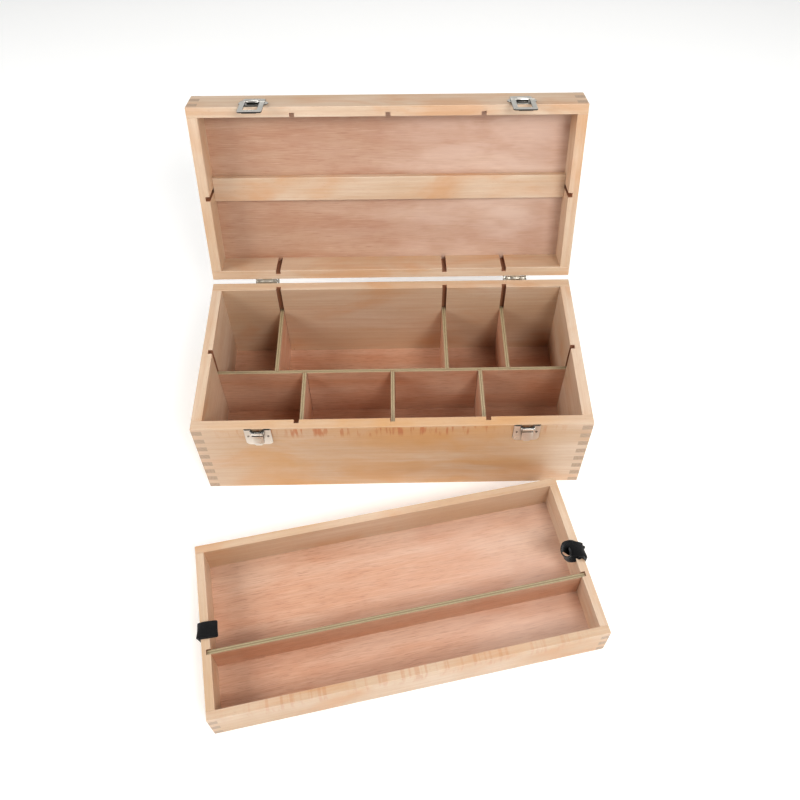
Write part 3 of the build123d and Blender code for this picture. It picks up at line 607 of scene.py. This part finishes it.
carcases = {
    "body": carcaseOf("body", ["front_wall", "back_wall", "left_wall", "right_wall"]),
    "lid": carcaseOf("lid", ["lid_front_rail", "lid_back_rail", "lid_left_rail", "lid_right_rail"]),
    "tray": carcaseOf("tray", ["tray_front_rail", "tray_back_rail", "tray_left_rail",
                               "tray_right_rail"]),
}
wallThickness = {"body": 0.012, "lid": 0.012, "tray": 0.0092}


def outerArris(place, edge, frameName):
    low, high = carcases[frameName]
    wall = wallThickness[frameName]
    rim = low[2] if frameName == "lid" else high[2]
    a, b = (place @ v.co for v in edge.verts)
    near = 1e-5
    shared = sum(abs(a[i] - side[i]) < near and abs(b[i] - side[i]) < near
                 for i in range(3) for side in (low, high))
    onRim = abs(a[2] - rim) < near and abs(b[2] - rim) < near
    inner = any(abs(a[i] - level) < near and abs(b[i] - level) < near
                for i in (0, 1) for level in (low[i] + wall, high[i] - wall))
    return shared >= 2 or (onRim and inner)


def makeBoard(node, spec, mat, solid):
    frameName, along, through, seed, rounding = spec
    place = squareTo[frameName]
    acrossAxis = 3 - along - through
    bm = cleanCopy(node)
    marks = bm.faces.layers.float_vector.new("boardMarks")
    low = Vector(min((place @ v.co)[i] for v in bm.verts) for i in range(3))
    high = Vector(max((place @ v.co)[i] for v in bm.verts) for i in range(3))
    middle, half = (low + high) / 2, (high - low) / 2
    carcaseWood = solid and node != "lid_batten"
    if rounding:
        if carcaseWood:
            chosen = [e for e in bm.edges if outerArris(place, e, frameName)]
        else:
            chosen = [e for e in bm.edges if e.is_manifold and e.calc_face_angle(0) > radians(60)
                      and e.calc_length() > 0.004]
        made = bmesh.ops.bevel(bm, geom=chosen, offset=rounding * mm, offset_type="OFFSET",
                               segments=2, profile=0.5, affect="EDGES", clamp_overlap=True)
        for face in made["faces"]:
            face[marks] = (0.0, 0.0, 1.0)
    turn = place.to_3x3()
    wall = wallThickness[frameName]
    for face in bm.faces:
        normal = turn @ face.normal
        centre = place @ face.calc_center_median()
        edge, groove, arris = face[marks]
        if solid:
            edge = float(abs(normal[along]) > 0.8 and abs(centre[along] - middle[along])
                         > half[along] - 0.0002)
            # faces inside the grooves, which get painted shade
            if carcaseWood and arris < 0.5:
                inside = abs(centre[through] - middle[through]) < half[through] - 0.0004
                between = abs(centre[along] - middle[along]) < half[along] - wall - 0.0002
                groove = float(inside and between and abs(normal[acrossAxis]) < 0.5)
        else:
            edge = float(abs(normal[through]) < 0.6)
        face[marks] = (edge, groove, arris)
    bm.verts.index_update()
    rimLevel = carcases[frameName][1].z
    spots, rims = [], []
    for vert in bm.verts:
        spot = place @ vert.co - middle
        rims += [rimLevel - (place @ vert.co).z,
                 float(node in ("front_wall", "tray_front_rail")), float(node == "front_wall")]
        rest = Vector((spot[along], spot[acrossAxis], spot[through]))
        if solid:  # the tree's middle lies beside the board, at a different place for each
            rest += Vector((0, 0.05 * sin(seed * 5.1), 0.045 + 0.03 * sin(seed * 3.7)))
        spots.append(rest)
    piece = finishPiece(bm, node, node + "_wood", mat)
    placeMark = piece.data.attributes.new("boardPlace", "FLOAT_VECTOR", "POINT")
    placeMark.data.foreach_set("vector", [c for spot in spots for c in spot])
    rimMark = piece.data.attributes.new("boardRim", "FLOAT_VECTOR", "POINT")
    rimMark.data.foreach_set("vector", rims)
    seedMark = piece.data.attributes.new("boardSeed", "FLOAT", "POINT")
    seedMark.data.foreach_set("value", [seed] * len(spots))


for node, spec in boards.items():
    makeBoard(node, spec, beechMat, True)
for node, spec in sheets.items():
    makeBoard(node, spec, panelMats.get(node, veneerMat), False)
print("wooden boards and plywood sheets are made")

# stamped metal, with its edges rounded over
sides = ("left", "right")
jointLine = lidJoint["pos_m"][2]
openLid = shutLid.inverted()
openTurn = openLid.to_3x3()
stampings = {
    # node: (material, slot, rounding in mm)
    "catch_plate": (hardware, "nickel", 0.18), "lever": (hardware, "nickel", 0.28),
    "lever_pin": (hardware, "nickel", 0.12), "lever_spring": (hingeMetal, "nickel", 0.0),
    "hasp_plate": (hardware, "nickel", 0.16), "hasp": (hardware, "nickel", 0.3),
    "hinge_body_leaf": (hingeMetal, "hinge_steel", 0.12),
    "hinge_lid_leaf": (hingeMetal, "hinge_steel", 0.12),
    "hinge_pin": (hingeMetal, "hinge_steel", 0.1),
}
leverShape = {
    "thumbStart": 0.010, "thumbKeep": 0.8,  # metres below the joint line; share of length kept
    "ridgeShadowLow": 0.0079, "ridgeShadowHigh": 0.0053,  # the band of painted shadow under the ridge, metres below the joint line
}


def shortenThumb(bm):  # the thumb end stops level with the plate behind it
    start = jointLine - leverShape["thumbStart"]
    for vert in bm.verts:
        if vert.co.z < start:
            vert.co.z = start - (start - vert.co.z) * leverShape["thumbKeep"]


def paintRidgeShadow(bm, marks):  # painted shadow: a dark band under the ridge at the lever's bend
    low, high = jointLine - leverShape["ridgeShadowLow"], jointLine - leverShape["ridgeShadowHigh"]
    every = bm.verts[:] + bm.edges[:] + bm.faces[:]
    bmesh.ops.bisect_plane(bm, geom=every, plane_co=(0, 0, low), plane_no=(0, 0, 1))
    for face in bm.faces:
        if low < face.calc_center_median().z < high and face.normal.y < -0.2:
            face[marks] = 1.0


def makeStamping(node, mat, slotName, rounding):
    bm = cleanCopy(node)
    marks = bm.faces.layers.float.new("paintedShade")
    outward = Vector((0, -1, 0))
    if "hasp" in node:  # these stand on the open lid
        outward = openTurn @ outward
    for face in bm.faces:  # only rounded walls are shaded smooth
        bends = [e.calc_face_angle(0) for e in face.edges if e.is_manifold]
        face.smooth = any(radians(1) < bend < radians(33) for bend in bends)
        shadedUnderRidge = node.endswith("_lever") and face.normal.z < -0.3  # painted shade on the lever's down-facing faces, under the front ridge
        # painted shade on the sides and backs of the latch parts, which face away from the front
        face[marks] = float("hinge" not in node and (shadedUnderRidge or face.normal.dot(outward) < 0.2))
    if node.endswith("_lever"):
        shortenThumb(bm)
        paintRidgeShadow(bm, marks)
    if rounding:
        sharp = [e for e in bm.edges if e.is_manifold and e.calc_face_angle(0) > radians(32)]
        made = bmesh.ops.bevel(bm, geom=sharp, offset=rounding * mm, offset_type="OFFSET",
                               segments=2, profile=0.5, affect="EDGES", clamp_overlap=True)
        for face in made["faces"]:
            face.smooth = True
            face[marks] = 0.0
    return finishPiece(bm, node, node + "_metal", mat)


for side in sides:
    for kind, spec in stampings.items():
        makeStamping(f"{side}_{kind}", *spec)
print("latches and hinges are made")

# straps: one length of webbing each, screwed to the tray's end with both tails under the screw
straps = {
    "width": 17.0, "thick": 1.3, "steps": 7, "around": 14,
    # stations in the tray's own millimetres: (x, y, z), then the way its width runs
    "left": [
        ((-209.8, 0.0, 20.0), (0, 1, 0)), ((-209.8, -0.8, 32.0), (0, 1, 0)),
        ((-209.8, -2.6, 43.0), (0, 1, 0.02)), ((-209.3, -3.4, 47.2), (0.06, 1, 0)),
        ((-207.4, -3.8, 47.95), (0.14, 1, 0)), ((-202.0, -4.2, 48.0), (0.16, 1, 0)),
        ((-196.5, -4.4, 47.7), (0.12, 1, 0)), ((-192.6, -4.4, 47.1), (0.05, 1, 0)),
        ((-191.4, -4.3, 48.0), (0.03, 1, 0.02)), ((-193.0, -4.1, 49.3), (0.04, 1, 0.04)),
        ((-198.0, -3.8, 49.6), (0.16, 1, 0.03)), ((-204.0, -3.4, 49.5), (0.26, 1, 0.02)),
        ((-208.6, -3.0, 49.2), (0.3, 1, -0.05)), ((-210.9, -2.6, 47.9), (0.2, 1, -0.1)),
        ((-211.6, -2.2, 44.0), (0.04, 1, 0)), ((-211.4, -0.8, 32.0), (0, 1, 0)),
        ((-211.3, 0.0, 20.0), (0, 1, 0)),
    ],
    "right": [
        ((209.8, 0.0, 20.0), (0, 1, 0)), ((209.8, -0.8, 32.0), (0, 1, 0)),
        ((209.8, -2.4, 43.0), (0, 1, 0)), ((209.2, -3.4, 47.4), (-0.05, 1, 0)),
        ((206.5, -1.2, 48.1), (-0.1, 1, 0.04)), ((201.0, -1.6, 48.5), (-0.05, 1, 0.1)),
        ((196.5, -3.6, 49.0), (-0.25, 0.75, 0.6)), ((192.0, -5.6, 49.6), (-0.3, -0.05, 1.0)),
        ((188.0, -4.6, 50.4), (-0.3, -0.25, 1.0)), ((185.6, -0.8, 51.2), (-0.28, -0.33, 1.0)),
        ((186.0, 3.4, 51.9), (-0.3, -0.2, 1.0)), ((189.2, 6.2, 52.2), (-0.3, 0.2, 1.0)),
        ((193.8, 5.6, 52.0), (-0.3, 0.65, 0.8)), ((199.0, 3.2, 51.3), (-0.25, 1, 0.3)),
        ((204.0, 1.6, 50.8), (-0.2, 1, 0.1)),
        ((208.0, 0.9, 50.3), (-0.25, 1, 0.0)), ((211.0, -0.4, 48.6), (-0.15, 1, 0.1)),
        ((211.9, -0.8, 44.0), (-0.03, 1, 0)), ((211.5, -0.6, 32.0), (0, 1, 0)),
        ((211.3, 0.0, 20.0), (0, 1, 0)),
    ],
}


def curveThrough(points, steps):
    dense = []
    for i in range(len(points) - 1):
        p0, p1 = points[max(i - 1, 0)], points[i]
        p2, p3 = points[i + 1], points[min(i + 2, len(points) - 1)]
        for k in range(steps):
            t = k / steps
            dense.append(0.5 * ((2 * p1) + (p2 - p0) * t + (2 * p0 - 5 * p1 + 4 * p2 - p3) * t * t
                                + (3 * p1 - p0 - 3 * p2 + p3) * t ** 3))
    dense.append(points[-1])
    return dense


def makeStrap(side):
    places = curveThrough([Vector(p) for p, w in straps[side]], straps["steps"])
    widths = curveThrough([Vector(w).normalized() for p, w in straps[side]], straps["steps"])
    halfWide, halfThick, count = straps["width"] / 2, straps["thick"] / 2, straps["around"]
    bm = bmesh.new()
    uvs = bm.loops.layers.uv.new("strapMap")
    outline = []
    for k in range(count):  # a flat oval
        turn = 2 * pi * (k + 0.5) / count
        c, n = cos(turn), sin(turn)
        wide = halfWide * (abs(c) ** 0.35) * (1 if c > 0 else -1)
        outline.append((wide, halfThick * (abs(n) ** 0.4) * (1 if n > 0 else -1)))
    rings, travelled, lengths = [], 0.0, []
    for i, place in enumerate(places):
        ahead = places[min(i + 1, len(places) - 1)] - places[max(i - 1, 0)]
        ahead.normalize()
        across = widths[i] - ahead * widths[i].dot(ahead)
        across.normalize()
        up = across.cross(ahead)
        if i:
            travelled += (place - places[i - 1]).length
        lengths.append(travelled)
        ripple = 0.12 * sin(travelled * 0.9)
        rings.append([bm.verts.new(trayPlace @ ((place + across * (w * (1 + 0.01 * ripple))
                                                 + up * t) * mm)) for w, t in outline])
    for i in range(len(rings) - 1):
        for k in range(count):
            nxt = (k + 1) % count
            face = bm.faces.new((rings[i][k], rings[i][nxt], rings[i + 1][nxt], rings[i + 1][k]))
            spots = ((lengths[i], outline[k][0]), (lengths[i], outline[nxt][0]),
                     (lengths[i + 1], outline[nxt][0]), (lengths[i + 1], outline[k][0]))
            for loop, (u, v) in zip(face.loops, spots):
                loop[uvs].uv = (u * mm, v * mm)
    for ring in (rings[0], rings[-1]):
        face = bm.faces.new(ring)
        for loop, (w, t) in zip(face.loops, outline):
            loop[uvs].uv = (t * mm, w * mm)
    bmesh.ops.recalc_face_normals(bm, faces=bm.faces)
    node = side + "_strap"
    return finishPiece(bm, node, node + "_webbing", webMat, smooth=60), travelled


strapLengths = {side: makeStrap(side)[1] for side in sides}
print("straps are made, mm:", {side: round(v) for side, v in strapLengths.items()})

# cross-head screws, set on points by one node tree
screws = {
    "Head Radius": 2.3, "Head Height": 0.85, "Slot Width": 0.5, "Slot Depth": 0.6,
    "Slot Length": 2.5, "Shank Radius": 1.1, "Shank Length": 7.5,
    "seed": 4, "sides": 28,
    "latchOut": 150.5, "catchPlate": (11.2, -13.5, 0.9), "haspPlate": (12.2, 12.0, 0.8),
    "hingeOut": 157.0, "hingeLeaf": (8.0, 8.5, 1.0), "strapDown": 27.0, "strapOver": 2.85,
}


def makeScrewTree():
    tree = bpy.data.node_groups.new("crossScrew", "GeometryNodeTree")
    tree.interface.new_socket("Geometry", in_out="INPUT", socket_type="NodeSocketGeometry")
    names = ["Head Radius", "Head Height", "Slot Width", "Slot Depth", "Slot Length",
             "Shank Radius", "Shank Length"]
    for label in names:
        socket = tree.interface.new_socket(label, in_out="INPUT", socket_type="NodeSocketFloat")
        socket.default_value = screws[label] * mm
    tree.interface.new_socket("Finish", in_out="INPUT", socket_type="NodeSocketMaterial")
    tree.interface.new_socket("Geometry", in_out="OUTPUT", socket_type="NodeSocketGeometry")
    given = tree.nodes.new("NodeGroupInput").outputs
    end = tree.nodes.new("NodeGroupOutput")

    def triple(x=0.0, y=0.0, z=0.0):
        return addNode(tree, "ShaderNodeCombineXYZ", {"X": x, "Y": y, "Z": z}).outputs[0]

    # the dome: a short cone of rings, lifted to a rounded profile
    cone = addNode(tree, "GeometryNodeMeshCone", {
        "Vertices": screws["sides"], "Side Segments": 5, "Fill Segments": 2,
        "Radius Top": calc(tree, "MULTIPLY", given["Head Radius"], 0.35),
        "Radius Bottom": given["Head Radius"], "Depth": given["Head Height"]})
    place = addNode(tree, "GeometryNodeInputPosition").outputs[0]
    parts = addNode(tree, "ShaderNodeSeparateXYZ", {0: place}).outputs
    rise = calc(tree, "DIVIDE", parts["Z"], given["Head Height"], clamp=True)
    lift = calc(tree, "MULTIPLY", calc(tree, "SQRT", rise), given["Head Height"])
    swell = calc(tree, "ADD", 1.0, calc(tree, "MULTIPLY", calc(tree, "MULTIPLY", rise,
                 calc(tree, "SUBTRACT", 1.0, rise)), 0.75))
    dome = addNode(tree, "GeometryNodeSetPosition", {
        "Geometry": cone.outputs["Mesh"], "Position": triple(
            calc(tree, "MULTIPLY", parts["X"], swell), calc(tree, "MULTIPLY", parts["Y"], swell),
            lift)}).outputs[0]
    bars = []
    for turned in (False, True):
        size = [given["Slot Length"], given["Slot Width"], calc(tree, "MULTIPLY", given["Slot Depth"], 2)]
        if turned:
            size[0], size[1] = size[1], size[0]
        bar = addNode(tree, "GeometryNodeMeshCube", {"Size": triple(*size)}).outputs["Mesh"]
        bars.append(addNode(tree, "GeometryNodeTransform", {
            "Geometry": bar, "Translation": triple(0.0, 0.0, given["Head Height"])}).outputs[0])
    cut = addNode(tree, "GeometryNodeMeshBoolean", {"Mesh 1": dome}, operation="DIFFERENCE")
    for bar in bars:
        tree.links.new(bar, cut.inputs["Mesh 2"])
    shank = addNode(tree, "GeometryNodeMeshCone", {
        "Vertices": 12, "Side Segments": 8, "Radius Top": given["Shank Radius"],
        "Radius Bottom": calc(tree, "MULTIPLY", given["Shank Radius"], 0.3),
        "Depth": given["Shank Length"]}).outputs["Mesh"]
    shank = addNode(tree, "GeometryNodeTransform", {
        "Geometry": shank, "Translation": triple(
            0.0, 0.0, calc(tree, "MULTIPLY", given["Shank Length"], -1.0))}).outputs[0]
    whole = addNode(tree, "GeometryNodeJoinGeometry")
    tree.links.new(shank, whole.inputs[0])
    tree.links.new(cut.outputs["Mesh"], whole.inputs[0])
    facing = addNode(tree, "GeometryNodeInputNamedAttribute", {"Name": "facing"},
                     data_type="FLOAT_VECTOR").outputs["Attribute"]
    stood = addNode(tree, "FunctionNodeAlignRotationToVector", {"Vector": facing}, axis="Z").outputs[0]
    roll = addNode(tree, "FunctionNodeRandomValue", {"Min": 0.2, "Max": 1.35, "Seed": screws["seed"]},
                   data_type="FLOAT")
    spin = addNode(tree, "FunctionNodeAxisAngleToRotation", {
        "Axis": (0, 0, 1), "Angle": next(o for o in roll.outputs if o.enabled)}).outputs[0]
    turn = addNode(tree, "FunctionNodeRotateRotation", {"Rotation": stood, "Rotate By": spin},
                   rotation_space="LOCAL").outputs[0]
    made = addNode(tree, "GeometryNodeInstanceOnPoints", {
        "Points": given["Geometry"], "Instance": whole.outputs[0], "Rotation": turn}).outputs[0]
    real = addNode(tree, "GeometryNodeRealizeInstances", {"Geometry": made}).outputs[0]
    dressed = addNode(tree, "GeometryNodeSetMaterial", {
        "Geometry": real, "Material": given["Finish"]}).outputs[0]
    tree.links.new(dressed, end.inputs[0])
    return tree


screwTree = makeScrewTree()


def makeScrews(node, places, headRadius=None):
    # places: (point in metres, the way the head looks)
    mesh = bpy.data.meshes.new(node + "_points")
    mesh.from_pydata([tuple(p) for p, n in places], [], [])
    facing = mesh.attributes.new("facing", "FLOAT_VECTOR", "POINT")
    facing.data.foreach_set("vector", [c for p, n in places for c in n])
    carrier = bpy.data.objects.new(node + "_points", mesh)
    scene.collection.objects.link(carrier)
    modifier = carrier.modifiers.new("crossScrew", "NODES")
    modifier.node_group = screwTree
    for item in screwTree.interface.items_tree:
        if item.in_out == "INPUT" and item.name == "Finish":
            modifier[item.identifier] = screwMat
        if item.in_out == "INPUT" and item.name == "Head Radius" and headRadius:
            modifier[item.identifier] = headRadius * mm
    bpy.context.view_layer.update()
    ready = carrier.evaluated_get(bpy.context.evaluated_depsgraph_get())
    plain = bpy.data.meshes.new_from_object(ready)
    bpy.data.objects.remove(carrier)
    bm = bmesh.new()
    bm.from_mesh(plain)
    bpy.data.meshes.remove(plain)
    return finishPiece(bm, node, node + "_crossHead", screwMat, smooth=40)


bodyLow, bodyHigh = carcases["body"]
front, backward = Vector((0, -1, 0)), Vector((0, 1, 0))
catchSpots, haspSpots, bodyHinge, lidHinge, strapSpots = [], [], [], [], []
for side in (-1, 1):
    for hand in (-1, 1):
        out, up, sheet = screws["catchPlate"]
        x = (side * screws["latchOut"] + hand * out) * mm
        catchSpots.append((Vector((x, bodyLow.y - sheet * mm, jointLine + up * mm)), front))
        out, up, sheet = screws["haspPlate"]
        x = (side * screws["latchOut"] + hand * out) * mm
        spot = Vector((x, bodyLow.y - sheet * mm, jointLine + up * mm))
        haspSpots.append((openLid @ spot, openTurn @ front))
        out, down, sheet = screws["hingeLeaf"]
        x = (side * screws["hingeOut"] + hand * out) * mm
        level = bodyHigh.y + sheet * mm
        bodyHinge.append((Vector((x, level, jointLine - down * mm)), backward))
        spot = Vector((x, level, jointLine + down * mm))
        lidHinge.append((openLid @ spot, openTurn @ backward))
    face = side * ((carcases["tray"][1].x - carcases["tray"][0].x) / 2 + screws["strapOver"] * mm)
    strapSpots.append((trayPlace @ Vector((face, 0, screws["strapDown"] * mm)),
                       trayPlace.to_3x3() @ Vector((side, 0, 0))))
makeScrews("catch_screws", catchSpots)
makeScrews("hasp_screws", haspSpots)
makeScrews("hinge_body_screws", bodyHinge)
makeScrews("hinge_lid_screws", lidHinge)
makeScrews("strap_screws", strapSpots, 3.2)
print("screws are made")
